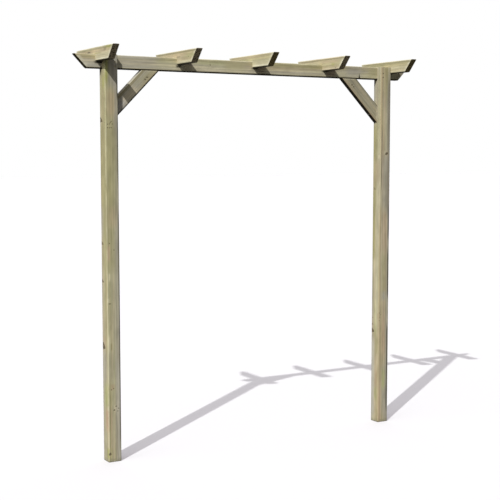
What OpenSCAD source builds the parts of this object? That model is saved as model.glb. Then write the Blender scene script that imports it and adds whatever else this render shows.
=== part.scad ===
// Flat top garden arch.
// Two square posts carry a cross beam that is let into their backs near the top, so it
// lies flush with them. Rafters with sawn sloping ends are notched down over the beam,
// the outer two against the outer faces of the posts. A knee brace in the plane of the
// beam stiffens each corner of the walkway.
// Millimetres, +X along the beam, +Y to the back, +Z up.
// The origin is at the middle of the left post's foot.

/* [Posts] */
// Width and depth of each square post
post_side = 70; // [60:1:120]
// Height of each post from the ground to its sawn top
post_height = 2060; // [1500:5:2600]
// Clear width of the walkway between the posts
walkway_width = 1625; // [800:5:2400]
// Radius of the eased arrises of a post
post_arris = 6; // [1:0.5:12]

/* [Cross beam] */
// Height of the beam's section
beam_depth = 70; // [50:1:140]
// Thickness of the beam, which is also how far it is let into each post
beam_thickness = 35; // [22:1:45]
// How far the top edge of the beam runs out past the outer face of each post
beam_overhang = 145; // [110:5:400]
// Slope of the beam's sawn ends, measured from the vertical
beam_end_angle = 44; // [0:1:45]

/* [Rafters] */
// Number of rafters, spaced evenly from post to post
rafter_count = 5; // [2:1:9]
// Length of a rafter along its top edge
rafter_length = 480; // [300:5:1200]
// Height of a rafter's section
rafter_depth = 68; // [50:1:120]
// Thickness of a rafter
rafter_thickness = 35; // [22:1:45]
// Depth of the notch that sits over the beam
notch_depth = 34; // [10:1:45]
// Gap between a notch and each face of the beam
notch_clearance = 0.5; // [0.2:0.1:2]
// Slope of a rafter's sawn ends, measured from the vertical
rafter_end_angle = 43; // [0:1:45]

/* [Knee braces] */
// Width of a brace's face
brace_width = 70; // [35:1:100]
// Thickness of a brace, front to back
brace_thickness = 35; // [22:1:45]
// How far below the beam a brace's lower edge meets the post
brace_drop = 244; // [180:1:600]
// How far along the beam a brace's lower edge reaches from the post
brace_reach = 244; // [180:1:600]

/* [Finish] */
// Radius of the eased arrises of the beam, rafters and braces
rail_arris = 4; // [1:0.5:8]

/* [Hidden] */
$fn = 48;
// How far a saw cut runs past the timber that it cuts
saw_run_out = 10;
post_centres = walkway_width + post_side;
beam_underside = post_height - beam_depth;
beam_front = post_side / 2 - beam_thickness;
beam_middle = post_side / 2 - beam_thickness / 2;
beam_length = post_centres + post_side + 2 * beam_overhang;
// The outer rafters lie against the outer faces of the posts
first_rafter = -(post_side + rafter_thickness) / 2;
last_rafter = post_centres + (post_side + rafter_thickness) / 2;
rafter_spacing = (last_rafter - first_rafter) / (rafter_count - 1);
rafter_top = post_height + rafter_depth - notch_depth;
brace_lean = atan(brace_reach / brace_drop);
treated_pine = [0.69, 0.66, 0.51];

// A planed section with its four arrises eased, centred on the origin
module eased_section(width, depth, arris) {
    square([width - 2 * arris, depth], center = true);
    square([width, depth - 2 * arris], center = true);
    for (x = [-1, 1], y = [-1, 1])
        translate([x * (width / 2 - arris), y * (depth / 2 - arris)])
            circle(r = arris);
}

// A planed timber standing on Z = 0
module timber(length, width, depth, arris) {
    linear_extrude(height = length)
        eased_section(width, depth, arris);
}

// A timber along X with its top at Z = 0 and its ends sawn to a slope, the top edge longer
module sloped_rail(length, depth, thickness, end_angle) {
    slope = tan(end_angle);
    top_reach = length / 2 + saw_run_out * slope;
    bottom_reach = length / 2 - (depth + saw_run_out) * slope;
    intersection() {
        translate([-length / 2, 0, -depth / 2])
            rotate([0, 90, 0])
                timber(length, depth, thickness, rail_arris);
        rotate([90, 0, 0])
            linear_extrude(height = thickness + 2 * saw_run_out, center = true)
                polygon([
                    [-top_reach, saw_run_out],
                    [top_reach, saw_run_out],
                    [bottom_reach, -depth - saw_run_out],
                    [-bottom_reach, -depth - saw_run_out]
                ]);
    }
}

// Square post, rebated at the top of its back so that the beam lies flush
module post() {
    color(treated_pine)
        difference() {
            timber(post_height, post_side, post_side, post_arris);
            translate([-post_side / 2 - saw_run_out, beam_front, beam_underside])
                cube([
                    post_side + 2 * saw_run_out,
                    beam_thickness + saw_run_out,
                    beam_depth + saw_run_out
                ]);
        }
}

// One beam over both posts
module cross_beam() {
    color(treated_pine)
        translate([post_centres / 2, beam_middle, post_height])
            sloped_rail(beam_length, beam_depth, beam_thickness, beam_end_angle);
}

// Rafter across the beam, notched over it from below
module rafter(number) {
    notch_width = beam_thickness + 2 * notch_clearance;
    color(treated_pine)
        translate([first_rafter + (number - 1) * rafter_spacing, beam_middle, 0])
            difference() {
                translate([0, 0, rafter_top])
                    rotate([0, 0, 90])
                        sloped_rail(rafter_length, rafter_depth, rafter_thickness, rafter_end_angle);
                translate([-rafter_thickness, -notch_width / 2, post_height - notch_depth - saw_run_out])
                    cube([2 * rafter_thickness, notch_width, notch_depth + saw_run_out]);
            }
}

// Knee brace, mitred against the inner face of the left post and the underside of the beam
module knee_brace() {
    brace_length = norm([brace_reach, brace_drop]);
    color(treated_pine)
        translate([post_side / 2, beam_front + brace_thickness / 2, beam_underside - brace_drop])
            intersection() {
                rotate([0, brace_lean, 0])
                    translate([-brace_width / 2, 0, -brace_width])
                        timber(brace_length + 2 * brace_width, brace_width, brace_thickness, rail_arris);
                translate([0, -brace_thickness, 0])
                    cube([brace_reach, 2 * brace_thickness, brace_drop]);
            }
}

module left_post() {
    post();
}

module right_post() {
    translate([post_centres, 0, 0])
        post();
}

module left_brace() {
    knee_brace();
}

module right_brace() {
    translate([post_centres, 0, 0])
        mirror([1, 0, 0])
            knee_brace();
}

left_post();
right_post();
cross_beam();
left_brace();
right_brace();
for (i = [1 : rafter_count])
    rafter(i);
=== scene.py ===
# Flat top garden arch in pressure-treated pine: two square posts carry a cross beam, rafters
# are notched down over the beam, and a knee brace stiffens each corner of the walkway.
# Metres, +X along the beam, +Y to the back, +Z up, from the middle of the left post's foot.
import math
from collections import namedtuple

import bmesh
import bpy
import numpy as np
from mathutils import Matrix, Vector


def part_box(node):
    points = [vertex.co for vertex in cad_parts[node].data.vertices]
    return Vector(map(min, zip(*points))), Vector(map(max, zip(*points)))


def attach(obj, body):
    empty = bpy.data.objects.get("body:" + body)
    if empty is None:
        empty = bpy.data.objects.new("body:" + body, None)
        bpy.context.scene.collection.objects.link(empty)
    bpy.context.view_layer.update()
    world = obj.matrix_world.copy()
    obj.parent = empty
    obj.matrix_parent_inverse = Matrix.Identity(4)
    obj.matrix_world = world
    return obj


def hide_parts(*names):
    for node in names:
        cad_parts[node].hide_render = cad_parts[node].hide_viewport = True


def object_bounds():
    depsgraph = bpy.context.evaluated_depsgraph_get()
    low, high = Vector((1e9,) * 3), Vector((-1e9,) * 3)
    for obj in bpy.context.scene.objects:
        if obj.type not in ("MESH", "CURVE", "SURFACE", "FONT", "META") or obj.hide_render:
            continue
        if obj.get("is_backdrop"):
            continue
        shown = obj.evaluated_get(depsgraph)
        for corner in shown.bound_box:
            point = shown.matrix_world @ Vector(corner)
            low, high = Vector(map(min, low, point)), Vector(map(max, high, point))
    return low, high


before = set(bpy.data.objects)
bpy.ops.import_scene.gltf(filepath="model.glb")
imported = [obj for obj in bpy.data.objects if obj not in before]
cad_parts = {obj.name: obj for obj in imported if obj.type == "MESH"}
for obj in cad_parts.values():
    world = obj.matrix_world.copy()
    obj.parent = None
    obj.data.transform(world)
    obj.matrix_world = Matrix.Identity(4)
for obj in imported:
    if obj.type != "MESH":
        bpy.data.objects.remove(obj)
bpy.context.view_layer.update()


# ------------------------------------------------------------------------------- Posts
# Two square posts planed from sawn pine, with eased arrises, then pressure treated, which
# leaves the sapwood green. Each is sawn square at both ends and stands on the ground, with
# a rebate across the top of its back for the beam. Screws go through it into the beam.

# A timber: the node it stands in for, the middle of its section at its start, the directions
# across and through its section, the names of the sides that face across, through, and back the
# other way, its size across, through and along, its eased arris, and what is cut or grew in it
Timber = namedtuple(
    "Timber", "node origin across through sides width depth length arris checks holes knots",
    defaults=((), (), ()),
)
# A cut across one side of a timber, from one place along it to another
Notch = namedtuple("Notch", "side depth start end")
# A drying crack along a side, which closes towards each end unless it runs out of the timber
Check = namedtuple("Check", "side offset start end depth")
# A countersunk hole for a screw
Hole = namedtuple("Hole", "side offset along")
# Where a branch comes out of a side, how thick it is there, and how dead and black it is
Knot = namedtuple("Knot", "side offset along radius dead")
# A streak of colour under a side, of the grain or of painted shade or light: how far it spreads, its ends,
# and how strong
Streak = namedtuple("Streak", "side offset reach start end colour strength")

# How close the points of a mesh are round the section and along the timber, with one more row
# of points just inside each arris
mesh_step = 0.006
mesh_stride = 0.012
edge_line = 0.0015
arris_facets = 4
sharp_angle = math.radians(32)
weld_gap = 0.00001
# How far the edge of a sawn end is softened, where the rings of points are near it, and where
# they are across the end, as shares of its outline
sawn_edge = 0.0009
end_rows = (sawn_edge * 0.3, sawn_edge, 0.004)
cap_rings = (0.9, 0.72, 0.5, 0.3, 0.14)
# An end's slope dies out within this many widths, and the ring for a mark is found by trials
lean_reach = 1.4
lean_trials = 12
# Rubbing fades out this far in from an arris. An end is rubbed in full over part of its reach.
wear_reach = 0.005
arris_rubbing = 0.5
end_wear_full = 0.4
# A check wanders sideways as it runs, and is deeper across the end grain
check_width = 0.0010
check_rows = (-check_width / 2, 0, check_width / 2)
check_bottom = check_width / 4
check_drift = 0.0012
check_bend = 0.21
end_check_growth = 1.5
# A screw's head sits at the bottom of a shallow bowl
head_radius = 0.0040
head_sink = 0.0007
hole_rim = 0.0052
hole_floor = 0.0038
hole_depth = 0.0011
hole_rows = [hole_rim * share for share in (-1.1, -0.95, -0.8, -0.6, -0.3, 0, 0.3, 0.6, 0.8, 0.95, 1.1)]
# The grain sinks a little in a ring round a knot, measured in the knot's own radius
knot_rows = (-1.7, -1.2, -0.6, 0, 0.6, 1.2, 1.7)
knot_dip = 0.0003
dip_radius = 1.2
dip_width = 0.4


def graded(low, high, step, extra):
    """Even places from low to high, giving way to extra ones where those are close by."""
    end_gap = step / 20
    least_gap = step / 6
    kept = sorted(place for place in set(extra) if low + end_gap < place < high - end_gap)
    for place in np.linspace(low, high, max(2, round((high - low) / step) + 1)):
        if place in (low, high) or all(abs(place - other) > least_gap for other in kept):
            kept.append(float(place))
    return sorted(kept)


def side_point(timber, side, offset):
    """The place in the section of a point on a side, offset from the middle of that side."""
    number = timber.sides.index(side)
    out = -1 if number > 1 else 1
    return (offset, out * timber.depth / 2) if number % 2 else (out * timber.width / 2, offset)


def half_flat(timber, number):
    """Half the width of the flat of a side, between its arrises."""
    return (timber.width if number % 2 else timber.depth) / 2 - timber.arris


def side_columns(timber):
    """Where the rows of points run along each side, closer together where something is cut."""
    marks = [(check, check_rows) for check in timber.checks]
    marks += [(hole, hole_rows) for hole in timber.holes]
    marks += [(knot, [knot.radius * share for share in knot_rows]) for knot in timber.knots]
    columns = []
    for number, side in enumerate(timber.sides):
        half = half_flat(timber, number)
        sign = -1 if number in (1, 2) else 1
        extra = [half - edge_line, edge_line - half]
        for mark, rows in marks:
            if mark.side == side:
                extra += [sign * mark.offset + gap for gap in rows]
        columns.append(graded(-half, half, mesh_step, extra))
    return columns


def section(timber):
    """Points round a planed section with eased arrises, one row of values for each point:
    place across and through, outward direction, side (-1 on an arris), offset and wear."""
    rows = []
    for side, places in enumerate(side_columns(timber)):
        turn = side * math.pi / 2
        out = np.array([math.cos(turn), math.sin(turn)])
        run = np.array([-math.sin(turn), math.cos(turn)])
        reach = (timber.depth if side % 2 else timber.width) / 2
        half = half_flat(timber, side)
        sign = run.sum()
        for place in places:
            wear = max(0.0, 1 - (half - abs(place)) / wear_reach)
            rows.append([*(out * reach + run * place), *out, side, place * sign, wear * wear])
        corner = out * (reach - timber.arris) + run * half
        for facet in range(1, arris_facets):
            angle = turn + math.pi / 2 * facet / arris_facets
            lean = np.array([math.cos(angle), math.sin(angle)])
            rows.append([*(corner + lean * timber.arris), *lean, -1, 0, 1])
    return np.array(rows).T


def ring_places(length, notch, marks):
    """Where the rings of points stand along a timber, and whether each is cut down by the
    notch. A shoulder of the notch has two: one full and one cut down."""
    extra = [*end_rows, *(length - place for place in end_rows), *marks]
    if notch:
        extra += [notch.start, notch.end]
    rings = []
    for place in graded(0, length, mesh_stride, extra):
        if notch and place == notch.start:
            rings += [(place, False), (place, True)]
        elif notch and place == notch.end:
            rings += [(place, True), (place, False)][: 1 if place == length else 2]
        else:
            rings.append((place, notch is not None and notch.start < place < notch.end))
    places, cuts = zip(*rings)
    return np.array(places)[:, None], np.array(cuts)[:, None]


def dents(timber, side, offset, place, along):
    """How far each point is sunk below the planed face, and how far a check drifts sideways."""
    sunk = np.zeros((len(place), len(side)))
    drift = np.zeros_like(sunk)
    for check in timber.checks:
        number = timber.sides.index(check.side)
        run = (place - check.start) / (check.end - check.start)
        from_start = 1.0 if check.start <= 0 else 2 * run
        from_end = 1.0 if check.end >= timber.length else 2 - 2 * run
        opening = np.clip(np.minimum(from_start, from_end), 0, 1)
        aside = np.abs(offset - check.offset)
        sunk += check.depth * np.sqrt(opening) * ((side == number) & (aside < check_bottom))
        flat = half_flat(timber, number) - abs(check.offset)
        near = np.clip(1 - aside / flat, 0, 1) * (side == number)
        drift += check_drift * np.sin(2 * math.pi * place / check_bend) * near
    for hole in timber.holes:
        away = np.hypot(offset - hole.offset, along - hole.along)
        bowl = np.clip((hole_rim - away) / (hole_rim - hole_floor), 0, 1)
        sunk += hole_depth * bowl * bowl * (3 - 2 * bowl) * (side == timber.sides.index(hole.side))
    for knot in timber.knots:
        away = np.hypot(offset - knot.offset, along - knot.along) / knot.radius
        dip = np.exp(-(((away - dip_radius) / dip_width) ** 2))
        sunk += knot_dip * dip * (side == timber.sides.index(knot.side))
    edge = np.clip(1 - np.minimum(place, timber.length - place) / sawn_edge, 0, 1)
    sunk += sawn_edge * (1 - np.sqrt(1 - edge * edge))
    return sunk, drift


def end_cap(timber, rim, side, offset, last):
    """Rings that close a sawn end towards its middle. A check that runs out of it crosses it."""
    middle = (rim.min(0) + rim.max(0)) / 2
    cap = np.array([middle + (rim - middle) * share for share in cap_rings])
    cap[..., 2] = 0
    inwards = -1 if last else 1
    for check in timber.checks:
        if check.end >= timber.length if last else check.start <= 0:
            line = (side == timber.sides.index(check.side)) & (np.abs(offset - check.offset) < check_bottom)
            cap[..., 2] += np.array(cap_rings)[:, None] * check.depth * end_check_growth * line * inwards
    return cap if last else cap[::-1]


def cut_notch(timber, notch, cut, body):
    """Cuts the rings that are in the notch down to its floor."""
    number = timber.sides.index(notch.side)
    axis = number % 2
    sign = 1 if number < 2 else -1
    floor = (timber.depth if axis else timber.width) / 2 - notch.depth
    body[..., axis] = np.where(cut, sign * np.minimum(sign * body[..., axis], floor), body[..., axis])


def closed_mesh(timber, rings, worn):
    """A mesh over rings of points, closed at both ends, which keeps for the material each
    point's place in the timber and how worn it is."""
    count, around = rings.shape[:2]
    points = rings.reshape(-1, 3)
    faces = []
    for first in range(0, (count - 1) * around, around):
        for column in range(around):
            after = (column + 1) % around
            faces.append((first + column, first + after, first + around + after, first + around + column))
    for first in (0, (count - 1) * around):
        points = np.vstack([points, points[first:first + around].mean(0)])
        worn = np.append(worn, 0)
        for column in range(around):
            faces.append((first + column, first + (column + 1) % around, len(points) - 1))

    axes = np.array([timber.across, timber.through, timber.across.cross(timber.through)])
    mesh = bpy.data.meshes.new(timber.node + "_timber")
    mesh.from_pydata((points @ axes + np.array(timber.origin)).tolist(), [], faces)
    grain = mesh.attributes.new("timber", "FLOAT_VECTOR", "POINT")
    grain.data.foreach_set("vector", points.astype(np.float32).ravel())
    mesh.attributes.new("wear", "FLOAT", "POINT").data.foreach_set("value", worn.astype(np.float32))
    solid = bmesh.new()
    solid.from_mesh(mesh)
    bmesh.ops.remove_doubles(solid, verts=solid.verts, dist=weld_gap)
    bmesh.ops.recalc_face_normals(solid, faces=solid.faces)
    solid.to_mesh(mesh)
    solid.free()
    mesh.shade_smooth()
    mesh.set_sharp_from_angle(angle=sharp_angle)
    return mesh


def timber_mesh(timber, start_lean=(0, 0), end_lean=(0, 0), end_wear=0.008, notch=None):
    """A planed timber as rings of points from end to end, with sawn ends, one notch, drying
    checks, screw holes and slightly sunk grain round the knots. The leans say how far an end
    runs on for each metre across and through the section, and end_wear how far it is rubbed."""
    across, through, out_across, out_through, side, offset, wear = section(timber)
    lean_zone = max(timber.width, timber.depth) * lean_reach

    def leant(place, across, through):
        """How far along a point of a ring is, with the slope of the ends, which soon dies out."""
        near_start = np.clip(1 - place / lean_zone, 0, 1)
        near_end = np.clip(1 - (timber.length - place) / lean_zone, 0, 1)
        at_start = near_start * (across * start_lean[0] + through * start_lean[1])
        at_end = near_end * (across * end_lean[0] + through * end_lean[1])
        return place + at_start + at_end

    def ring_through(mark):
        """The place of the ring that runs through a hole or a knot."""
        point = side_point(timber, mark.side, mark.offset)
        ring = mark.along
        for _ in range(lean_trials):
            ring += mark.along - float(leant(ring, *point))
        return ring

    marks = [ring_through(hole) + gap for hole in timber.holes for gap in hole_rows]
    marks += [ring_through(knot) + knot.radius * share for knot in timber.knots for share in knot_rows]
    marks += [place for check in timber.checks for place in (check.start, check.end)]
    place, cut = ring_places(timber.length, notch, marks)
    along = leant(place, across, through)
    sunk, drift = dents(timber, side, offset, place, along)
    drift = drift * np.sign(out_across + out_through)
    body = np.zeros((*sunk.shape, 3))
    body[..., 0] = across - out_across * sunk - out_through * drift
    body[..., 1] = through - out_through * sunk + out_across * drift
    if notch:
        cut_notch(timber, notch, cut, body)

    # The rings with a cap at each end, moved along by the slope of the ends
    start_cap = end_cap(timber, body[0], side, offset, False)
    finish_cap = end_cap(timber, body[-1], side, offset, True)
    rings = np.concatenate([start_cap, body, finish_cap])
    on_cap = np.zeros((len(cap_rings), 1))
    stations = np.concatenate([on_cap, place, on_cap + timber.length])
    rings[..., 2] += leant(stations, rings[..., 0], rings[..., 1])

    # Arrises are rubbed all along, and every side is rubbed near the ends
    to_end = np.minimum(place, timber.length - place)
    end_worn = np.clip((1 - to_end / end_wear) / (1 - end_wear_full), 0, 1)
    worn = np.maximum(wear * arris_rubbing, end_worn)
    unworn = np.zeros(start_cap.shape[:2])
    return closed_mesh(timber, rings, np.concatenate([unworn, worn, unworn]).reshape(-1))


class Value:
    """A value that a shader works out, which can be added, multiplied and so on like a number."""

    def __init__(self, nodes, socket):
        self.nodes = nodes
        self.socket = socket

    def __add__(self, other):
        return self.nodes.maths("ADD", self, other)

    def __radd__(self, other):
        return self.nodes.maths("ADD", other, self)

    def __sub__(self, other):
        return self.nodes.maths("SUBTRACT", self, other)

    def __rsub__(self, other):
        return self.nodes.maths("SUBTRACT", other, self)

    def __mul__(self, other):
        return self.nodes.maths("MULTIPLY", self, other)

    def __truediv__(self, other):
        return self.nodes.maths("DIVIDE", self, other)

    def eased(self, low, high):
        """0 where this is below low, 1 above high, and smooth between."""
        return self.nodes.add("MapRange", {0: self, 1: low, 2: high}, interpolation_type="SMOOTHSTEP")

    def bell(self, reach):
        """1 where this distance is nothing, fading out past the reach."""
        ratio = self.nodes.maths("POWER", self / reach, 2.0)
        return self.nodes.maths("EXPONENT", ratio * -1.0)


class Nodes:
    """Adds shader nodes to a tree and gives what they put out."""

    def __init__(self, tree):
        self.tree = tree

    def add_node(self, kind, inputs, settings):
        """A node with its settings made and its inputs linked or filled in."""
        node = self.tree.nodes.new("ShaderNode" + kind)
        for setting, value in settings.items():
            setattr(node, setting, value)
        for socket, value in inputs.items():
            self.give(node.inputs[socket], value)
        return node

    def give(self, socket, value):
        if isinstance(value, Value):
            self.tree.links.new(value.socket, socket)
        else:
            socket.default_value = value

    def values(self, sockets):
        """What comes out of these sockets, by name."""
        return {socket.name: Value(self, socket) for socket in sockets}

    def add(self, kind, inputs=None, output=0, **settings):
        return Value(self, self.add_node(kind, inputs or {}, settings).outputs[output])

    def group(self, group, inputs):
        return self.values(self.add_node("Group", inputs, {"node_tree": group}).outputs)

    def finish(self, kind, shader):
        self.add_node("Output" + kind, {0: shader}, {})

    def maths(self, operation, *values):
        return self.add("Math", dict(enumerate(values)), operation=operation)

    def vector(self, operation, *values):
        output = 1 if operation in ("DOT_PRODUCT", "LENGTH") else 0
        return self.add("VectorMath", dict(enumerate(values)), output, operation=operation)

    def scaled(self, vector, scale):
        return self.add("VectorMath", {0: vector, 3: scale}, operation="SCALE")

    def noise(self, place, cells, seed, detail=2.0, output=0):
        """Noise from 0 to 1 about 0.5, with this many cells in a metre each way."""
        inputs = {0: self.vector("MULTIPLY", place, cells), 1: seed, "Scale": 1.0, "Detail": detail}
        return self.add("TexNoise", inputs, output, noise_dimensions="4D")

    def mix(self, share, first, second, blend="MIX"):
        return self.add("Mix", {0: share, 6: first, 7: second}, 2, data_type="RGBA", blend_type=blend)


def emptied(owner):
    """The nodes of a material or world, cleared and ready to be filled."""
    owner.use_nodes = True
    owner.node_tree.nodes.clear()
    return Nodes(owner.node_tree)


def group_of(name, inputs, outputs):
    """An empty node group: the group, its nodes, its inputs by name and its outputs by name."""
    group = bpy.data.node_groups.new(name, "ShaderNodeTree")
    for way, sockets in (("INPUT", inputs), ("OUTPUT", outputs)):
        for socket, kind in sockets.items():
            group.interface.new_socket(socket, in_out=way, socket_type="NodeSocket" + kind)
    nodes = Nodes(group)
    source = nodes.values(group.nodes.new("NodeGroupInput").outputs)
    return group, nodes, source, group.nodes.new("NodeGroupOutput").inputs


# A branch is a cone from the heart, no thinner or thicker than it is at these distances along
# it. It starts to show a little way out, and climbs this much for each metre outwards.
branch_ends = (0.0005, 0.06)
branch_start = (0.002, 0.006)
branch_climb = 0.3
branch_rings = 17.0
# How far the grain swerves round a branch, and how far off it does so, in the branch's radius
grain_pull = 1.1
grain_pull_reach = 1.7


def branch_group():
    """A branch as a cone that leaves the heart of the log: how far it pulls the growth rings
    outwards, and where its own wood and its bark lie, added to what earlier branches gave."""
    masks = {"Pull": "Float", "Wood": "Float", "Bark": "Float"}
    inputs = {"Timber": "Vector", "Ragged": "Float", "Root": "Vector", "Direction": "Vector"}
    inputs.update({"Taper": "Float", "Dead": "Float", **masks})
    group, nodes, source, result = group_of("branch", inputs, masks)
    away = nodes.vector("SUBTRACT", source["Timber"], source["Root"])
    reach = nodes.vector("DOT_PRODUCT", away, source["Direction"])
    beside = nodes.vector("SUBTRACT", away, nodes.scaled(source["Direction"], reach))
    radius = nodes.add("Clamp", {0: reach, 1: branch_ends[0], 2: branch_ends[1]}) * source["Taper"]
    outward = reach.eased(*branch_start)
    # Bark and torn grain make the outline ragged
    ratio = nodes.vector("LENGTH", beside) / radius
    ratio = ratio * (0.45 + source["Ragged"] * 1.1)
    core = 1.0 - ratio.eased(0.7, 1.05)
    rings = nodes.maths("SINE", ratio * branch_rings)
    core = core * (0.8 + rings * 0.2)
    core = core * (0.3 + source["Dead"] * 0.7)
    rim = ratio.eased(0.55, 0.9) - ratio.eased(0.95, 1.35)
    rim = rim * source["Dead"]
    # The grain parts round a branch well above and below it, so the pull is longer than it is wide
    flat = nodes.vector("MULTIPLY", beside, (1.0, 1.0, 0.4))
    fade = nodes.vector("LENGTH", flat).bell(radius * grain_pull_reach)
    pull = radius * grain_pull * fade
    for socket, value, join in (("Pull", pull, "ADD"), ("Wood", core, "MAXIMUM"), ("Bark", rim, "MAXIMUM")):
        nodes.give(result[socket], nodes.maths(join, source[socket], value * outward))
    return group


def streak_group():
    """A streak of colour that wanders with the grain, laid over the colour that comes in."""
    inputs = {"Timber": "Vector", "Wander": "Vector", "Patchy": "Float", "Colour": "Color"}
    inputs.update({"Middle": "Vector", "Reach": "Float", "Start": "Float", "End": "Float"})
    inputs.update({"Fade": "Float", "Tint": "Color", "Strength": "Float"})
    group, nodes, source, result = group_of("streak", inputs, {"Colour": "Color"})
    sway = source["Reach"] * 1.5
    sway = nodes.add("CombineXYZ", {0: sway, 1: sway, 2: source["Fade"] * 0.5})
    place = nodes.vector("ADD", source["Timber"], nodes.vector("MULTIPLY", source["Wander"], sway))
    away = nodes.vector("SUBTRACT", place, source["Middle"])
    away = nodes.vector("LENGTH", nodes.vector("MULTIPLY", away, (1.0, 1.0, 0.0)))
    mask = away.bell(source["Reach"])
    along = nodes.vector("DOT_PRODUCT", place, (0, 0, 1))
    from_start = (along - source["Start"]) / source["Fade"]
    from_end = (source["End"] - along) / source["Fade"]
    mask = mask * from_start.eased(-0.5, 0.5)
    mask = mask * from_end.eased(-0.5, 0.5)
    mask = nodes.maths("MINIMUM", mask * source["Patchy"] * source["Strength"], 1.0)
    nodes.give(result["Colour"], nodes.mix(mask, source["Colour"], source["Tint"]))
    return group


branch = branch_group()
streak = streak_group()

sapwood = (0.525, 0.485, 0.315, 1)
tan_wood = (0.550, 0.450, 0.290, 1)
green_wood = (0.455, 0.450, 0.215, 1)
moss_wood = (0.400, 0.400, 0.120, 1)
olive_wood = (0.395, 0.360, 0.185, 1)
grey_wood = (0.430, 0.400, 0.325, 1)
pale_grey_wood = (0.560, 0.530, 0.430, 1)
# A grey used as painted shade at the top of the left post
post_top_shadow_grey = (0.350, 0.330, 0.320, 1)
shade_wood = (0.305, 0.275, 0.210, 1)
pink_wood = (0.555, 0.400, 0.265, 1)
brown_wood = (0.480, 0.380, 0.235, 1)
cream_wood = (0.660, 0.595, 0.400, 1)
late_wood = (0.330, 0.285, 0.150, 1)
# Dark of knots, also used as painted shade over the beam's end past the right post
knot_and_shade_dark = (0.120, 0.090, 0.050, 1)
knot_bark = (0.040, 0.034, 0.020, 1)
worn_wood = (0.760, 0.720, 0.540, 1)
end_wood = (0.520, 0.430, 0.260, 1)
end_late_wood = (0.130, 0.100, 0.045, 1)
ground_grime = (0.210, 0.200, 0.115, 1)
# Near-black for painted shade under things and along shaded arrises, and for one dark mark in the beam
shade_and_grime_black = (0.026, 0.022, 0.013, 1)
# Dark for grime and marks in the wood, and for painted shade along arrises turned from the light and under
# the beam
grime_and_shade_dark = (0.095, 0.090, 0.070, 1)

# How many times each pattern in the wood repeats in a metre across, through and along it
heart_wander = (4, 4, 0.9)
grain_ripple = (60, 60, 9)
ring_spacing = (70, 1, 1)
broad_bands = (38, 38, 1.1)
narrow_bands = (95, 95, 1.6)
cool_bands = (70, 70, 1.3)
streak_wander = (45, 45, 3.0)
streak_patches = (140, 140, 7)
fibres = (700, 700, 16)
flecks = (260, 260, 22)
shade_bands = (120, 120, 2.2)
shade_clouds = (26, 26, 11)
torn_grain = (210, 210, 210)
blotches = (120, 120, 120)
rubbed_patches = (90, 90, 14)
saw_lines = (90, 900, 40)

# How far the heart wanders from its line, and how far ripples in the grain move the rings
heart_shift = 0.020
ripple_shift = 0.0012
longest_fade = 0.09


def log_branches(nodes, spot, timber, heart):
    """Every branch of a timber: the pull on the growth rings, the branch wood and the bark."""
    masks = {"Pull": 0.0, "Wood": 0.0, "Bark": 0.0}
    ragged = nodes.noise(spot, torn_grain, 3.0, detail=3.0)
    for knot in timber.knots:
        point = Vector((*side_point(timber, knot.side, knot.offset), knot.along))
        climb = branch_climb * math.dist(point[:2], heart)
        run = point - Vector((*heart, knot.along - climb))
        masks = nodes.group(branch, {
            "Timber": spot, "Ragged": ragged, "Root": point - run, "Direction": run.normalized(),
            "Taper": knot.radius / run.length, "Dead": knot.dead, **masks,
        })
    return masks["Pull"], masks["Wood"], masks["Bark"]


def growth_rings(nodes, spot, heart, seed, pitch, pull):
    """1 in the dark latewood of each growth ring and 0 between, round a heart that wanders."""
    wander = nodes.noise(spot, heart_wander, seed, detail=1.0, output=1)
    ripple = nodes.noise(spot, grain_ripple, seed + 5, output=1)
    place = nodes.vector("ADD", spot, nodes.vector("MULTIPLY", wander, (heart_shift, heart_shift, 0)))
    place = nodes.vector("ADD", place, nodes.vector("MULTIPLY", ripple, (ripple_shift, ripple_shift, 0)))
    # Both noises are 0.5 on average, which moves the heart by half of both shifts
    mean_shift = (heart_shift + ripple_shift) / 2
    middle = (heart[0] + mean_shift, heart[1] + mean_shift, 0)
    away = nodes.vector("MULTIPLY", nodes.vector("SUBTRACT", place, middle), (1, 1, 0))
    radius = nodes.vector("LENGTH", away) - pull
    slow = nodes.noise(nodes.add("CombineXYZ", {0: radius}), ring_spacing, seed + 1, detail=1.0)
    phase = nodes.maths("FRACT", radius / pitch + slow * 3.0)
    return phase.eased(0.35, 0.88) - phase.eased(0.92, 1.0)


def dirty_foot(nodes, colour, spot, blotch):
    """Soil splashed up round a foot that stands on the ground, and a dark line along its very bottom."""
    height = nodes.add("SeparateXYZ", {0: spot}, 2)
    dirty = 1.0 - (height + blotch * 0.04).eased(0.018, 0.045)
    colour = nodes.mix(dirty * 0.5, colour, ground_grime)
    bottom_line = 1.0 - (height + blotch * 0.006).eased(0.004, 0.009)
    return nodes.mix(bottom_line * 0.75, colour, grime_and_shade_dark)


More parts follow.
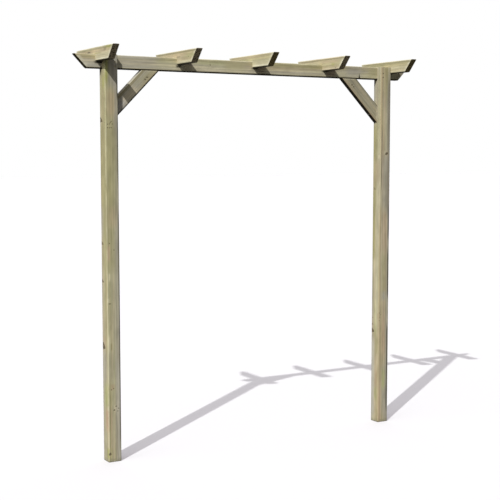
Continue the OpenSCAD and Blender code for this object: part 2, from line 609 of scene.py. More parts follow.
def treated_pine(timber, heart, seed, streaks=(), grime_and_shade=(), ring_pitch=0.0035, green=0.5, grey=0.4,
                 rubbing=0.55, ends=(end_wood, end_late_wood), foot=False):
    """Planed and pressure-treated pine, cut from a log whose heart runs at `heart` across and
    through the section: growth rings, knots, green and grey streaks, worn arrises, end grain."""
    material = bpy.data.materials.new(timber.node + "_pine")
    nodes = emptied(material)
    spot = nodes.add("Attribute", output=1, attribute_name="timber")
    wear = nodes.add("Attribute", output=2, attribute_name="wear")

    def pattern(cells, number, detail=2.0, output=0):
        """One of this timber's own patterns, each with a number of its own."""
        return nodes.noise(spot, cells, seed + number, detail, output)

    def streaked(colour, marks):
        """The colour with streaks laid over it one after another."""
        for mark in marks:
            middle = (*side_point(timber, mark.side, mark.offset), 0)
            colour = nodes.group(streak, {
                "Timber": spot, "Wander": wander, "Patchy": patchy, "Colour": colour, "Middle": middle,
                "Reach": mark.reach, "Start": mark.start, "End": mark.end, "Tint": mark.colour,
                "Fade": min(longest_fade, (mark.end - mark.start) / 2), "Strength": mark.strength,
            })["Colour"]
        return colour

    pull, wood, bark = log_branches(nodes, spot, timber, heart)
    late = growth_rings(nodes, spot, heart, seed, ring_pitch, pull)

    # Colour: sapwood and tan wood in broad bands, green and grey bands, the rings, then streaks
    colour = nodes.mix(pattern(broad_bands, 2).eased(0.38, 0.62), sapwood, tan_wood)
    colour = nodes.mix(pattern(narrow_bands, 3).eased(0.48, 0.68) * green, colour, green_wood)
    colour = nodes.mix(pattern(cool_bands, 4).eased(0.46, 0.66) * grey, colour, grey_wood)
    colour = nodes.mix(late * 0.34, colour, late_wood)
    wander = nodes.vector("SUBTRACT", pattern(streak_wander, 13, 3.0, output=1), (0.5, 0.5, 0.5))
    patchy = 0.35 + pattern(streak_patches, 14, 3.0) * 1.3
    colour = streaked(colour, streaks)

    # Fine shading along the grain: fibres, flecks, and paler and darker bands
    fibre = pattern(fibres, 6, 3.0)
    fleck = pattern(flecks, 7, 3.0)
    band = pattern(shade_bands, 11, 3.0).eased(0.36, 0.64)
    cloud = pattern(shade_clouds, 12).eased(0.36, 0.64)
    shade = 0.55 + fibre * 0.16 + fleck * 0.36 + band * 0.24 + cloud * 0.14
    colour = nodes.mix(1.0, colour, nodes.add("CombineColor", {0: shade, 1: shade, 2: shade}), "MULTIPLY")
    if timber.knots:
        colour = nodes.mix(pull.eased(0.0008, 0.0060) * 0.35, colour, tan_wood)
        colour = nodes.mix(wood, colour, knot_and_shade_dark)
        colour = nodes.mix(bark * 0.85, colour, knot_bark)

    # Sides that face the ground are painted near-black as shade, and other arrises are rubbed pale
    normal = nodes.add("NewGeometry", output=3)
    blotch = pattern(blotches, 8, 4.0)
    facing_down = nodes.add("SeparateXYZ", {0: normal}, 2) * -1.0
    downward_shade = (facing_down + blotch * 0.2).eased(0.15, 0.42)
    colour = nodes.mix(downward_shade * 0.97, colour, shade_and_grime_black)
    rubbed = wear * pattern(rubbed_patches, 9).eased(0.25, 0.7) * (1.0 - downward_shade)
    colour = nodes.mix(rubbed * rubbing, colour, worn_wood)
    colour = streaked(colour, grime_and_shade)

    # Sawn ends drink the treatment and go dark; the near-black ends of the beam are painted shade
    grain = timber.across.cross(timber.through)
    end = nodes.maths("ABSOLUTE", nodes.vector("DOT_PRODUCT", normal, grain)).eased(0.45, 0.62)
    end_colour = nodes.mix(late, ends[0], ends[1])
    end_colour = nodes.mix(blotch.eased(0.47, 0.62), end_colour, ends[1])
    colour = nodes.mix(end, colour, end_colour)
    if foot:
        colour = dirty_foot(nodes, colour, spot, blotch)

    roughness = 0.62 + fleck * 0.2 + end * 0.18
    saw_marks = pattern(saw_lines, 10) * end
    bump = {"Strength": 0.5, "Distance": 0.0005, "Height": (late + fibre) * 0.5 + saw_marks * 2.0}
    nodes.finish("Material", nodes.add("BsdfPrincipled", {
        "Base Color": colour, "Roughness": roughness, "Normal": nodes.add("Bump", bump),
        "Specular IOR Level": 0.02,
    }))
    return material


def placed(name, data):
    """Puts an object with this mesh, lamp or camera in the scene."""
    thing = bpy.data.objects.new(name, data)
    bpy.context.scene.collection.objects.link(thing)
    return thing


def add_timber(node, mesh, material):
    """Puts a finished timber in place of its plain CAD solid."""
    mesh.materials.append(material)
    piece = placed(mesh.name, mesh)
    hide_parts(node)
    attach(piece, "root")


def streaks_under(*sides):
    """Streaks in the order they are laid. Each group names a side, then gives a row for each
    streak under it: its offset, reach, start, end, colour and strength."""
    return [Streak(side, *row) for side, *rows in sides for row in rows]


right, back, up = Vector((1, 0, 0)), Vector((0, 1, 0)), Vector((0, 0, 1))
beam_low, beam_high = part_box("cross_beam")
post_low, post_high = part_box("left_post")
post_side = post_high.x - post_low.x
post_height = post_high.z
post_half = post_side / 2
post_arris = 0.006
post_screw_offset = 0.020
# How far each screw is above the underside of the beam
beam_screw_rises = (0.010, 0.032)
# Each timber is cut from a log of its own, whose patterns start from another seed
seed_step = 20
post_seed = 10
post_hearts = {"left_post": (-0.030, -0.006), "right_post": (-0.028, 0.000)}
post_rubbing = {"left_post": 0.55, "right_post": 0.15}
post_knots = {
    "left_post": (
        Knot("front", -0.0285, 0.042, 0.0062, 1.0),
        Knot("left", 0.003, 0.587, 0.0058, 1.0),
        Knot("left", 0.020, 0.925, 0.0045, 1.0),
        Knot("left", 0.021, 1.117, 0.0052, 0.8),
        Knot("left", 0.017, 1.734, 0.0070, 1.0),
        Knot("front", -0.003, 0.268, 0.0028, 0.9),
        Knot("front", 0.007, 0.287, 0.0024, 0.8),
        Knot("front", -0.024, 1.714, 0.0026, 0.9),
        Knot("right", 0.004, 0.760, 0.0090, 0.7),
        Knot("back", -0.012, 1.340, 0.0080, 0.8),
    ),
    "right_post": (
        Knot("left", 0.019, 0.535, 0.0070, 1.0),
        Knot("left", 0.024, 0.573, 0.0035, 0.3),
        Knot("left", 0.010, 1.363, 0.0045, 0.3),
        Knot("front", 0.008, 1.567, 0.0058, 1.0),
        Knot("front", -0.026, 0.618, 0.0022, 0.9),
        Knot("front", -0.022, 0.634, 0.0020, 0.8),
        Knot("right", -0.006, 0.980, 0.0090, 0.8),
        Knot("back", 0.010, 0.410, 0.0100, 0.9),
        Knot("back", -0.014, 1.610, 0.0070, 0.3),
    ),
}
# Side, offset and place of each pin knot, the dark stub of a twig
pin_knot_reach = 0.0021
pin_knot_strength = 1.6
pin_knots = {
    "left_post": (
        ("left", -0.028, 1.722), ("front", -0.014, 1.716), ("front", -0.009, 1.7225),
        ("front", -0.004, 1.728), ("front", -0.023, 1.6975), ("front", -0.013, 1.697),
        ("front", -0.004, 1.698), ("front", 0.002, 1.716), ("front", -0.018, 0.3745),
        ("front", -0.006, 0.380), ("front", -0.020, 1.120), ("front", 0.004, 1.086),
        ("front", 0.016, 0.262), ("front", 0.020, 0.276),
    ),
    "right_post": (
        ("front", -0.030, 0.645), ("front", -0.031, 0.600), ("left", 0.022, 0.612),
    ),
}
# Where a streak starts and ends if it runs out of the timber at its start, its end or both
before = -0.1
beyond = 2.3
whole = (before, beyond)
post_streaks = {
    "left_post": streaks_under(
        ("left",
         (-0.034, 0.018, 0.28, beyond, green_wood, 0.45),
         (0.026, 0.013, before, 1.2, grey_wood, 0.6)),
        ("front",
         (-0.034, 0.07, 0.98, beyond, olive_wood, 0.6)),
        ("left",
         (0.031, 0.005, 0.7, 1.7, olive_wood, 1.2)),
        # Painted shade: a grey over the top of the front, in the shadow that the first rafter casts
        ("front",
         (0.008, 0.03, 1.9, beyond, post_top_shadow_grey, 0.6)),
        ("left",
         (-0.028, 0.014, 0.02, 0.07, moss_wood, 1.0),
         (-0.016, 0.018, 0.165, 0.275, pink_wood, 1.0),
         (-0.028, 0.007, 0.268, 0.29, cream_wood, 1.0),
         (-0.01, 0.022, 0.285, 0.41, green_wood, 0.9),
         (0.0, 0.034, 0.4, 0.57, grey_wood, 0.6),
         (0.002, 0.014, 0.585, 0.645, pink_wood, 0.5),
         (-0.009, 0.005, 0.76, 1.04, olive_wood, 1.0),
         (0.024, 0.016, 1.15, 1.3, grey_wood, 0.8),
         (0.008, 0.026, 1.3, 1.7, olive_wood, 0.6),
         (-0.014, 0.014, 1.895, 1.955, moss_wood, 0.6)),
        ("front",
         (-0.031, 0.006, 1.78, 1.97, olive_wood, 0.8),
         (-0.026, 0.008, 1.93, 2.04, moss_wood, 0.9),
         (-0.027, 0.004, before, 0.41, olive_wood, 0.9),
         (0.003, 0.01, 0.262, 0.294, cream_wood, 0.6),
         (0.021, 0.009, 0.292, 0.295, brown_wood, 1.0),
         (0.023, 0.008, 0.306, 0.309, cream_wood, 1.0),
         (-0.012, 0.011, 0.373, 0.402, brown_wood, 0.8),
         (-0.028, 0.005, 0.565, 0.65, cream_wood, 0.8),
         (-0.015, 0.0035, 0.576, 0.612, late_wood, 0.9),
         (-0.022, 0.006, 0.812, 0.817, knot_and_shade_dark, 1.0),
         (-0.029, 0.004, 0.82, 0.84, cream_wood, 0.8),
         (-0.022, 0.005, 0.93, 0.965, cream_wood, 0.8),
         (-0.024, 0.007, 1.03, 1.105, pink_wood, 0.8),
         (0.024, 0.014, *whole, grey_wood, 0.7),
         (0.022, 0.012, before, 0.52, pale_grey_wood, 0.6),
         (0.0, 0.026, 1.2, 1.3, brown_wood, 0.6),
         (0.0, 0.028, 1.3, 1.7, olive_wood, 0.5),
         (-0.005, 0.02, 1.755, 1.88, brown_wood, 0.8)),
    ),
    "right_post": streaks_under(
        ("left",
         (-0.016, 0.02, before, 0.4, tan_wood, 0.7),
         (0.018, 0.012, 0.04, 0.48, pale_grey_wood, 1.2),
         (-0.02, 0.014, 0.215, 0.305, pink_wood, 0.8),
         (-0.012, 0.016, 0.13, 0.2, green_wood, 0.7),
         (-0.016, 0.02, 0.4, 0.505, olive_wood, 0.6),
         (0.0, 0.018, 0.52, 0.7, green_wood, 0.8),
         (-0.01, 0.024, 0.56, 1.38, cream_wood, 0.6),
         (0.028, 0.012, *whole, grey_wood, 0.7),
         (0.02, 0.003, 0.7, 1.35, olive_wood, 0.8),
         (0.024, 0.02, 0.96, 1.72, olive_wood, 1.3),
         (-0.028, 0.006, 0.608, 0.642, brown_wood, 1.0),
         (-0.004, 0.026, 1.4, 1.53, tan_wood, 0.8),
         (-0.022, 0.008, 1.54, 1.56, cream_wood, 1.0),
         (0.018, 0.014, 1.6, 1.72, olive_wood, 0.7),
         (-0.026, 0.01, before, 0.31, olive_wood, 0.6),
         (-0.018, 0.013, 0.88, 1.42, cream_wood, 0.45),
         (0.0, 0.03, 1.76, beyond, grey_wood, 0.45)),
        ("front",
         (-0.028, 0.01, before, 0.23, pink_wood, 0.8),
         (0.004, 0.018, 0.04, 0.32, grey_wood, 0.6),
         (0.002, 0.014, 0.2, 0.31, green_wood, 0.8),
         (0.0, 0.018, 0.4, 0.62, pink_wood, 0.45),
         (0.026, 0.014, *whole, grey_wood, 0.7),
         (0.0, 0.026, 0.72, 0.77, grey_wood, 0.8),
         (-0.004, 0.024, 0.77, 1.0, olive_wood, 0.5),
         (-0.004, 0.024, 1.0, 1.23, pink_wood, 0.5),
         (0.0, 0.03, 1.25, 1.56, grey_wood, 0.6),
         (-0.004, 0.008, 1.562, 1.584, cream_wood, 1.0),
         (-0.028, 0.01, 1.7, 1.86, green_wood, 0.5),
         (0.0, 0.026, 1.89, beyond, olive_wood, 0.6),
         (-0.031, 0.004, 0.2, 1.25, brown_wood, 0.9),
         (0.026, 0.013, 1.22, 1.97, shade_wood, 1.5)),
    ),
}
# Grime and marks, with painted shade: dark lines down the right-front arrises and down the rear arrises of
# the left faces under the beam
post_grime_and_shade = {
    "left_post": streaks_under(
        ("left",
         (0.0325, 0.004, before, 1.8, grime_and_shade_dark, 0.7),
         (0.032, 0.0045, 1.9, beyond, shade_and_grime_black, 1.1)),
        ("front",
         (0.031, 0.0035, 0.1, 1.26, grime_and_shade_dark, 1.0),
         (0.031, 0.0035, 1.43, 1.75, grime_and_shade_dark, 1.0),
         (0.031, 0.004, 1.84, 1.93, grime_and_shade_dark, 1.1)),
    ),
    "right_post": streaks_under(
        ("left",
         (0.032, 0.0045, 1.92, beyond, shade_and_grime_black, 1.3)),
        ("front",
         (-0.0325, 0.0065, *whole, late_wood, 0.35),
         (-0.03, 0.007, 1.68, beyond, brown_wood, 0.7),
         (-0.024, 0.0025, 1.38, 1.7, grime_and_shade_dark, 0.8),
         (0.025, 0.0035, 0.08, 0.56, grime_and_shade_dark, 1.4),
         (0.027, 0.0035, 0.74, 1.0, grime_and_shade_dark, 1.4),
         (0.027, 0.0035, 1.08, 1.25, grime_and_shade_dark, 1.4)),
    ),
}
post_checks = {
    "left_post": (
        Check("right", 0.006, 1.18, 1.62, 0.0035),
        Check("back", -0.009, -0.01, 0.46, 0.0040),
        Check("back", 0.011, 0.90, 1.30, 0.0030),
        Check("front", 0.012, 1.905, 2.07, 0.0025),
    ),
    "right_post": (
        Check("right", -0.008, 0.35, 0.92, 0.0035),
        Check("back", 0.005, 1.05, 1.66, 0.0040),
        Check("right", 0.004, -0.01, 0.22, 0.0030),
        Check("front", 0.025, 0.08, 0.56, 0.0020),
    ),
}
# Where the middle of each screw's head is on the face of the wood, and the way out of the wood
screws = []

for number, (node, inner) in enumerate((("left_post", 1), ("right_post", -1))):
    low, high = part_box(node)
    foot = Vector(((low.x + high.x) / 2, (low.y + high.y) / 2, 0))
    holes = [Hole("front", inner * post_screw_offset, beam_low.z + rise) for rise in beam_screw_rises]
    screws += [(foot + Vector((hole.offset, -post_half, hole.along)), -back) for hole in holes]
    post = Timber(
        node, foot, right, back, ("right", "back", "left", "front"), post_side, post_side, post_height,
        post_arris, post_checks[node], holes, post_knots[node],
    )
    mesh = timber_mesh(post, notch=Notch("back", post_half - beam_low.y, beam_low.z, post_height))
    pins = []
    for side, offset, along in pin_knots[node]:
        ends = (along - pin_knot_reach, along + pin_knot_reach)
        pins.append(Streak(side, offset, pin_knot_reach, *ends, knot_and_shade_dark, pin_knot_strength))
    pine = treated_pine(
        post, post_hearts[node], post_seed + seed_step * number, streaks=(*post_streaks[node], *pins),
        grime_and_shade=post_grime_and_shade[node], rubbing=post_rubbing[node], foot=True,
    )
    add_timber(node, mesh, pine)


# -------------------------------------------------------------------------- Cross beam
# One planed rail that sits in the posts' rebates and runs out past them, its ends sawn to
# a slope. It has been planed once more than the posts, and its latewood stands out pale.
rail_arris = 0.004
rail_end_wear = 0.022
beam_end_slope = math.tan(math.radians(44))
beam_middle = (beam_low + beam_high) / 2
beam_depth = beam_high.z - beam_low.z
beam_thickness = beam_high.y - beam_low.y
beam_length = beam_high.x - beam_low.x - beam_depth * beam_end_slope
beam_start = Vector((beam_low.x + beam_depth / 2 * beam_end_slope, beam_middle.y, beam_middle.z))
beam_seed = 50
beam_heart = (0.010, 0.020)
# The beam's sawn ends are near-black: painted shade
beam_ends_shade_dark = ((0.120, 0.100, 0.050, 1), (0.040, 0.034, 0.018, 1))
shade_brown = (0.300, 0.240, 0.170, 1)
beam_knots = (
    Knot("front", 0.006, 0.721, 0.0032, 0.5),
    Knot("back", -0.012, 1.020, 0.0080, 0.8),
    Knot("back", 0.010, 1.490, 0.0060, 0.3),
)
beam_streaks = streaks_under((
    "front",
    (0.024, 0.014, *whole, olive_wood, 0.4),
    (-0.014, 0.02, before, 0.52, pale_grey_wood, 0.9),
    (0.0, 0.06, 1.93, beyond, shade_wood, 0.7),
    (0.026, 0.012, 0.19, 0.42, grey_wood, 0.8),
    (0.0, 0.03, 0.41, 0.53, green_wood, 0.35),
    (0.016, 0.018, 0.63, 0.82, green_wood, 0.8),
    (0.0, 0.04, 0.56, 0.96, grey_wood, 0.35),
    (0.0, 0.032, 0.81, 0.93, olive_wood, 0.6),
    (0.02, 0.016, 1.08, 1.43, olive_wood, 0.6),
    (-0.018, 0.016, 0.52, 1.6, pale_grey_wood, 0.2),
    (-0.006, 0.04, 0.562, 0.612, shade_brown, 0.8),
    (-0.006, 0.04, 1.005, 1.055, shade_brown, 0.8),
    (-0.006, 0.04, 1.455, 1.515, shade_brown, 1.2),
    (0.0, 0.036, 1.59, 1.69, grey_wood, 0.8),
    (0.02, 0.014, 1.56, 1.8, shade_wood, 0.35),
    (0.0, 0.032, 1.74, 1.805, olive_wood, 0.6),
    (-0.004, 0.0016, 0.18, 0.7, cream_wood, 0.9),
    (-0.01, 0.0016, 0.25, 1.1, cream_wood, 0.9),
    (-0.016, 0.0014, 0.15, 0.9, cream_wood, 0.9),
    (-0.022, 0.0014, 0.6, 1.5, cream_wood, 0.9),
    (-0.027, 0.0018, 0.19, 1.9, cream_wood, 0.8),
    (-0.008, 0.0016, 1.08, 1.56, cream_wood, 0.8),
))
# Painted shade under the left ends of the rafters, over the end past the right post and along the underside
# arris, and one dark mark in the wood
beam_grime_and_shade = streaks_under((
    "front",
    (-0.004, 0.006, 0.072, 0.112, shade_and_grime_black, 0.9),
    (-0.006, 0.007, 0.522, 0.548, shade_and_grime_black, 0.9),
    (-0.003, 0.004, 0.974, 1.01, shade_and_grime_black, 0.8),
    (-0.003, 0.004, 1.424, 1.47, shade_and_grime_black, 0.8),
    # Painted shade over the end past the right post, in the last rafter's shadow
    (0.0, 0.05, 1.955, beyond, knot_and_shade_dark, 0.55),
    (-0.02, 0.01, 1.676, 1.682, grime_and_shade_dark, 1.2),
    (-0.028, 0.006, 1.674, 1.684, shade_and_grime_black, 1.4),
    (-0.0338, 0.0046, *whole, shade_and_grime_black, 1.8),
))
beam_checks = (
    Check("back", -0.006, -0.01, 0.19, 0.0030),
    Check("top", 0.004, 0.62, 1.05, 0.0030),
    Check("back", 0.012, 1.30, 1.72, 0.0025),
)
beam = Timber(
    "cross_beam", beam_start, back, up, ("back", "top", "front", "under"), beam_thickness, beam_depth,
    beam_length, rail_arris, beam_checks, knots=beam_knots,
)
mesh = timber_mesh(
    beam, start_lean=(0, -beam_end_slope), end_lean=(0, beam_end_slope), end_wear=rail_end_wear,
)
pine = treated_pine(
    beam, beam_heart, beam_seed, streaks=beam_streaks, grime_and_shade=beam_grime_and_shade, ring_pitch=0.004,
    green=0.3, grey=0.6, rubbing=0.7, ends=beam_ends_shade_dark,
)
add_timber("cross_beam", mesh, pine)


# ------------------------------------------------------------------------- Knee braces
# A short rail across each top corner of the walkway, mitred at 45 degrees against the inner
# face of the post and the underside of the beam, and screwed to both at a slant.
brace_low, brace_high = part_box("left_brace")
brace_drop = brace_high.z - brace_low.z
brace_width = 0.070
brace_thickness = brace_high.y - brace_low.y
brace_rise = brace_width * math.sqrt(0.5)
brace_length = (brace_drop - brace_rise) * math.sqrt(2)
# Two screws go in from the front near the beam, and one from below near the post
brace_screw_gaps = (0.038, 0.054)
brace_screw_offset = 0.013
slant_screw_place = 0.030
brace_seed = 70
brace_heart = (0.050, 0.010)
grey_brace_wood = (0.300, 0.275, 0.200, 1)
cold_grey_wood = (0.500, 0.470, 0.440, 1)
brace_streaks_and_light = {
    "left_brace": streaks_under(
        # Painted light: the pale grey, pink and cream over the lower end lighten the part that lies in
        # shade
        ("front",
         (0.0, 0.05, before, 0.18, pale_grey_wood, 1.0),
         (0.008, 0.01, 0.06, 0.2, grey_wood, 0.7),
         (-0.014, 0.01, 0.12, 0.3, olive_wood, 0.7),
         (0.0, 0.04, 0.06, 0.15, pink_wood, 0.5),
         (0.0, 0.04, before, 0.055, cold_grey_wood, 0.9),
         (0.004, 0.036, 0.066, 0.15, cream_wood, 0.55),
         (0.018, 0.014, 0.15, 0.4, olive_wood, 0.4)),
        ("upper",
         (0.0, 0.026, *whole, grey_wood, 1.4)),
    ),
    "right_brace": streaks_under(
        ("front",
         (0.0, 0.06, before, 0.4, grey_brace_wood, 0.6)),
    ),
}
# Painted shade along the lower arris of the left brace, and dark lines along other arrises
brace_grime_and_shade = {
    "left_brace": streaks_under(
        ("front",
         (0.0325, 0.005, *whole, shade_and_grime_black, 1.3)),
        ("upper",
         (0.016, 0.004, *whole, grime_and_shade_dark, 1.2)),
        ("front",
         (-0.029, 0.0025, *whole, late_wood, 1.6),
         (-0.022, 0.002, *whole, late_wood, 1.0)),
    ),
    "right_brace": streaks_under(
        ("front",
         (0.0325, 0.004, *whole, grime_and_shade_dark, 1.0),
         (-0.0325, 0.0028, *whole, brown_wood, 1.0)),
    ),
}
for number, (node, turn) in enumerate((("left_brace", 1), ("right_brace", -1))):
    low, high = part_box(node)
    along = Vector((turn, 0, 1)).normalized()
    across = back.cross(along)
    start = Vector((low.x if turn > 0 else high.x, (low.y + high.y) / 2, low.z + brace_rise))
    sides = ("lower", "back", "upper", "front") if turn > 0 else ("upper", "back", "lower", "front")
    holes = [Hole("front", turn * brace_screw_offset, brace_length - gap) for gap in brace_screw_gaps]
    front = start - back * brace_thickness / 2
    screws += [(front + across * hole.offset + along * hole.along, -back) for hole in holes]
    holes.append(Hole("lower", 0.0, slant_screw_place))
    screws.append((start + across * turn * brace_width / 2 + along * slant_screw_place, across * turn))
    brace = Timber(
        node, start, across, back, sides, brace_width, brace_thickness, brace_length, rail_arris,
        holes=holes,
    )
    mesh = timber_mesh(brace, start_lean=(-turn, 0), end_lean=(turn, 0))
    heart = (turn * brace_heart[0], brace_heart[1])
    pine = treated_pine(
        brace, heart, brace_seed + seed_step * number, streaks=brace_streaks_and_light[node],
        grime_and_shade=brace_grime_and_shade[node], green=0.35, grey=0.55,
    )
    add_timber(node, mesh, pine)


# ---------------------------------------------------------------------------- Rafters
# Short rails across the beam with both ends sawn to a slope, the top edge longer. Each is
# notched to half its height over the beam and held by one screw driven down through it.
rafter_end_slope = math.tan(math.radians(43))
notch_gap = 0.0005
rafter_seed = 110
rafter_heart = (0.020, 0.050)
edge_olive = (0.230, 0.215, 0.120, 1)
pale_ends = ((0.800, 0.660, 0.430, 1), (0.130, 0.100, 0.052, 1))
dull_ends = ((0.500, 0.400, 0.190, 1), (0.120, 0.090, 0.034, 1))
# How much each is rubbed low on its left side, dirty along the arris above that side and
# darkened with painted shade along the arris below it, and the colours of its sawn ends
rafter_finish = {
    "rafter_1": (0.80, 0.32, 0.00, pale_ends),
    "rafter_2": (0.35, 0.62, 0.25, pale_ends),
    "rafter_3": (0.60, 0.30, 0.50, dull_ends),
    "rafter_4": (0.30, 0.60, 0.30, pale_ends),
    "rafter_5": (0.20, 0.60, 1.00, dull_ends),
}
rafter_knots = {
    "rafter_1": (Knot("left", 0.014, 0.066, 0.0050, 0.4),),
    "rafter_2": (Knot("left", -0.003, 0.061, 0.0022, 1.0),),
    "rafter_4": (Knot("left", -0.025, 0.064, 0.0034, 1.0),),
}
# Rows for the streaks under the left side
rafter_streaks = {
    "rafter_1": (
        (0.01, 0.012, 0.05, 0.5, tan_wood, 0.5),
        (-0.004, 0.014, before, 0.2, cream_wood, 0.5),
        (0.026, 0.007, before, 0.06, moss_wood, 0.9),
        (-0.02, 0.009, *whole, cream_wood, 0.5),
        (0.016, 0.006, 0.05, 0.086, edge_olive, 0.4),
        (0.002, 0.0025, 0.12, 0.21, olive_wood, 1.0),
    ),
    "rafter_2": (
        (0.008, 0.014, 0.02, 0.4, tan_wood, 0.8),
        (-0.02, 0.009, *whole, cream_wood, 0.5),
        (0.003, 0.0022, 0.15, 0.19, knot_and_shade_dark, 0.55),
        (0.004, 0.014, before, 0.09, green_wood, 0.6),
    ),
    "rafter_3": (
        (0.004, 0.024, *whole, green_wood, 0.35),
        (-0.01, 0.016, before, 0.2, cream_wood, 0.65),
    ),
    "rafter_4": (
        (0.013, 0.007, 0.035, 0.19, pink_wood, 0.5),
        (-0.004, 0.016, *whole, green_wood, 0.4),
        (-0.005, 0.006, 0.072, 0.1, moss_wood, 0.75),
        (0.0, 0.04, *whole, tan_wood, 0.3),
    ),
    "rafter_5": (
        (0.0, 0.024, before, 0.3, green_wood, 0.4),
        (-0.008, 0.016, before, 0.3, cream_wood, 0.6),
        (0.02, 0.008, *whole, olive_wood, 0.4),
    ),
}
rafter_grime = {"rafter_1": ((0.012, 0.003, 0.258, 0.290, grime_and_shade_dark, 0.9),)}
rafter_nodes = sorted(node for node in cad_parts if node.startswith("rafter_"))
for number, node in enumerate(rafter_nodes):
    low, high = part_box(node)
    size = high - low
    slope_run = size.z * rafter_end_slope
    start = Vector(((low.x + high.x) / 2, low.y + slope_run / 2, (low.z + high.z) / 2))
    notch_start = beam_low.y - notch_gap - start.y
    notch = Notch("under", beam_high.z - low.z, notch_start, beam_high.y + notch_gap - start.y)
    hole = Hole("top", 0.0, beam_middle.y - start.y)
    screws.append((Vector((start.x, beam_middle.y, high.z)), up))
    rafter = Timber(
        node, start, up, right, ("top", "right", "under", "left"), size.z, size.x, size.y - slope_run,
        rail_arris, holes=[hole], knots=rafter_knots.get(node, ()),
    )
    mesh = timber_mesh(
        rafter, start_lean=(-rafter_end_slope, 0), end_lean=(rafter_end_slope, 0),
        end_wear=rail_end_wear, notch=notch,
    )
    rubbed, upper_dirt, lower_shade, ends = rafter_finish[node]
    rubbed_line = (-0.0245, 0.0040, before, 0.190, worn_wood, rubbed)
    upper = (0.0255, 0.0045, *whole, edge_olive, upper_dirt)
    # Painted shade along the lower arris of the left side
    lower = (-0.0335, 0.0030, *whole, shade_and_grime_black, lower_shade)
    pine = treated_pine(
        rafter, rafter_heart, rafter_seed + seed_step * number,
        streaks=streaks_under(("left", *rafter_streaks[node], rubbed_line)),
        grime_and_shade=streaks_under(("left", *rafter_grime.get(node, ()), upper, lower)),
        green=0.35, grey=0.15, rubbing=1.0, ends=ends,
    )
    add_timber(node, mesh, pine)


# ----------------------------------------------------------------------------- Screws
# Coated exterior wood screws with cross recesses and countersunk heads, driven just below
# the face: two through each post, three in each brace and one down through each rafter.
recess_reach = 0.0021
recess_arm = 0.0006
shank_radius = 0.0021
screw_sides = 32
scuffs = (900, 900, 900)
coating_patches = (250, 250, 250)
bright_coating = (0.165, 0.135, 0.070, 1)
dull_coating = (0.115, 0.100, 0.055, 1)
bare_steel = (0.32, 0.31, 0.29, 1)
# Share of the recess, and depth, of each ring of it, then radius and depth of the other rings
recess_rings = ((0.6, 0.0018), (1.0, 0.0001))
head_rings = ((0.0037, 0.0), (head_radius, 0.0003), (shank_radius, 0.0026), (shank_radius, 0.0090))


def recess_edge(angle):
    """How far the edge of a cross-shaped recess is from its middle in one direction."""
    lean = abs((angle + math.pi / 4) % (math.pi / 2) - math.pi / 4)
    return recess_arm / max(math.sin(lean), recess_arm / recess_reach)


def screw_mesh(places):
    """All the screws as one mesh: recess, flat rim, cone and a short shank in the timber."""
    angles = [2 * math.pi * number / screw_sides for number in range(screw_sides)]
    rims = [([share * recess_edge(angle) for angle in angles], sink) for share, sink in recess_rings]
    rims += [([radius] * screw_sides, sink) for radius, sink in head_rings]
    mesh = bmesh.new()
    for point, out in places:
        side = out.orthogonal().normalized()
        other = out.cross(side)
        seat = point - out * head_sink
        rings = []
        for radii, sink in rims:
            ring = []
            for angle, radius in zip(angles, radii):
                spoke = side * math.cos(angle) + other * math.sin(angle)
                ring.append(mesh.verts.new(seat + spoke * radius - out * sink))
            rings.append(ring)
        for inner, outer in zip(rings, rings[1:]):
            for number in range(screw_sides):
                after = (number + 1) % screw_sides
                mesh.faces.new((inner[number], outer[number], outer[after], inner[after]))
        bottom = mesh.verts.new(seat - out * recess_rings[0][1])
        for number in range(screw_sides):
            mesh.faces.new((rings[0][number], rings[0][(number + 1) % screw_sides], bottom))
        mesh.faces.new(list(reversed(rings[-1])))
    bmesh.ops.recalc_face_normals(mesh, faces=mesh.faces)
    made = bpy.data.meshes.new("screws")
    mesh.to_mesh(made)
    mesh.free()
    return made


def coated_steel():
    """A dull green-brown coating over steel, rubbed through to bare metal in places."""
    material = bpy.data.materials.new("coated_steel")
    nodes = emptied(material)
    place = nodes.add("TexCoord", output=3)
    scuff = nodes.noise(place, scuffs, 1.0, detail=3.0)
    tone = nodes.noise(place, coating_patches, 2.0)
    colour = nodes.mix(tone.eased(0.35, 0.65), dull_coating, bright_coating)
    colour = nodes.mix(scuff.eased(0.60, 0.72), colour, bare_steel)
    roughness = 0.55 - scuff * 0.2
    bump = nodes.add("Bump", {"Strength": 0.3, "Distance": 0.0001, "Height": scuff})
    nodes.finish("Material", nodes.add("BsdfPrincipled", {
        "Base Color": colour, "Roughness": roughness, "Normal": bump, "Metallic": 0.5,
    }))
    return material


mesh = screw_mesh(screws)
mesh.materials.append(coated_steel())
piece = placed("screws", mesh)
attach(piece, "root")


# ----------------------------------------------------------------------------- Studio
# A plain pale floor in a white room, a low sun from the front left for the crisp shadows,
# a broad soft glow round the sun, and soft fill from behind.
floor_reach = 60
floor_pale = (0.641, 0.649, 0.641, 1)
floor_glow = (1.000, 0.860, 1.000, 1)
floor_glow_strength = 0.213
bounce_grey = (0.04, 0.04, 0.04, 1)
sky_colour = (0.96, 0.98, 1.0, 1)
sky_strength = 0.275
room_white = (1, 1, 1, 1)
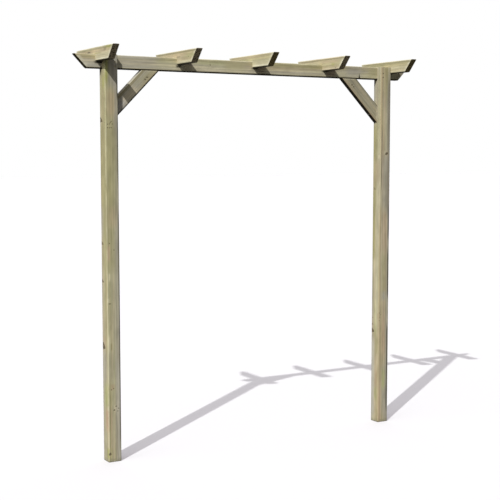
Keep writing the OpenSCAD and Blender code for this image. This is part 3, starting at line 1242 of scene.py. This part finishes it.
# Direction, strength and spread in degrees of each lamp
lamps = {
    "sun": ((0.575, 0.459, -0.678), 3.1, 0.6),
    "sun_glow": ((0.72, 0.28, -0.64), 0.95, 60),
    "back_fill": ((-0.60, -0.70, -0.50), 0.9, 80),
}
camera_place = (-2.2005, -5.193, 1.576)
camera_tilt = math.radians(84.973)
camera_turn = math.radians(-30.148)
camera_lens = 80.02


def seen_directly(nodes):
    """1 where the camera or a reflection sees the surface, 0 where it only throws light back."""
    seen = 0.0
    for output in ("Is Camera Ray", "Is Glossy Ray", "Is Transmission Ray"):
        seen = nodes.maths("MAXIMUM", seen, nodes.add("LightPath", output=output))
    return seen


floor_mesh = bpy.data.meshes.new("floor")
corners = [(x * floor_reach, y * floor_reach, 0) for x, y in ((-1, -1), (1, -1), (1, 1), (-1, 1))]
floor_mesh.from_pydata(corners, [], [(0, 1, 2, 3)])
floor = placed("floor", floor_mesh)
material = bpy.data.materials.new("pale_floor")
nodes = emptied(material)
pale = nodes.add("BsdfDiffuse", {0: floor_pale})
glow = nodes.add("Emission", {0: floor_glow, 1: floor_glow_strength})
bright = nodes.add("AddShader", {0: pale, 1: glow})
dim = nodes.add("BsdfDiffuse", {0: bounce_grey})
nodes.finish("Material", nodes.add("MixShader", {0: seen_directly(nodes), 1: dim, 2: bright}))
floor_mesh.materials.append(material)
floor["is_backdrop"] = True

world = bpy.data.worlds.new("white_room")
bpy.context.scene.world = world
nodes = emptied(world)
sky = nodes.add("Background", {0: sky_colour, 1: sky_strength})
white = nodes.add("Background", {0: room_white, 1: 1.0})
nodes.finish("World", nodes.add("MixShader", {0: seen_directly(nodes), 1: sky, 2: white}))

for name, (towards, strength, spread) in lamps.items():
    lamp = bpy.data.lights.new(name, "SUN")
    lamp.energy = strength
    lamp.angle = math.radians(spread)
    placed(name, lamp).rotation_euler = Vector(towards).to_track_quat("-Z", "Y").to_euler()

camera_data = bpy.data.cameras.new("camera")
camera_data.lens = camera_lens
camera = placed("camera", camera_data)
camera.location = camera_place
camera.rotation_euler = (camera_tilt, 0, camera_turn)
bpy.context.scene.camera = camera
bpy.context.scene.view_settings.view_transform = "Standard"

low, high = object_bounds()
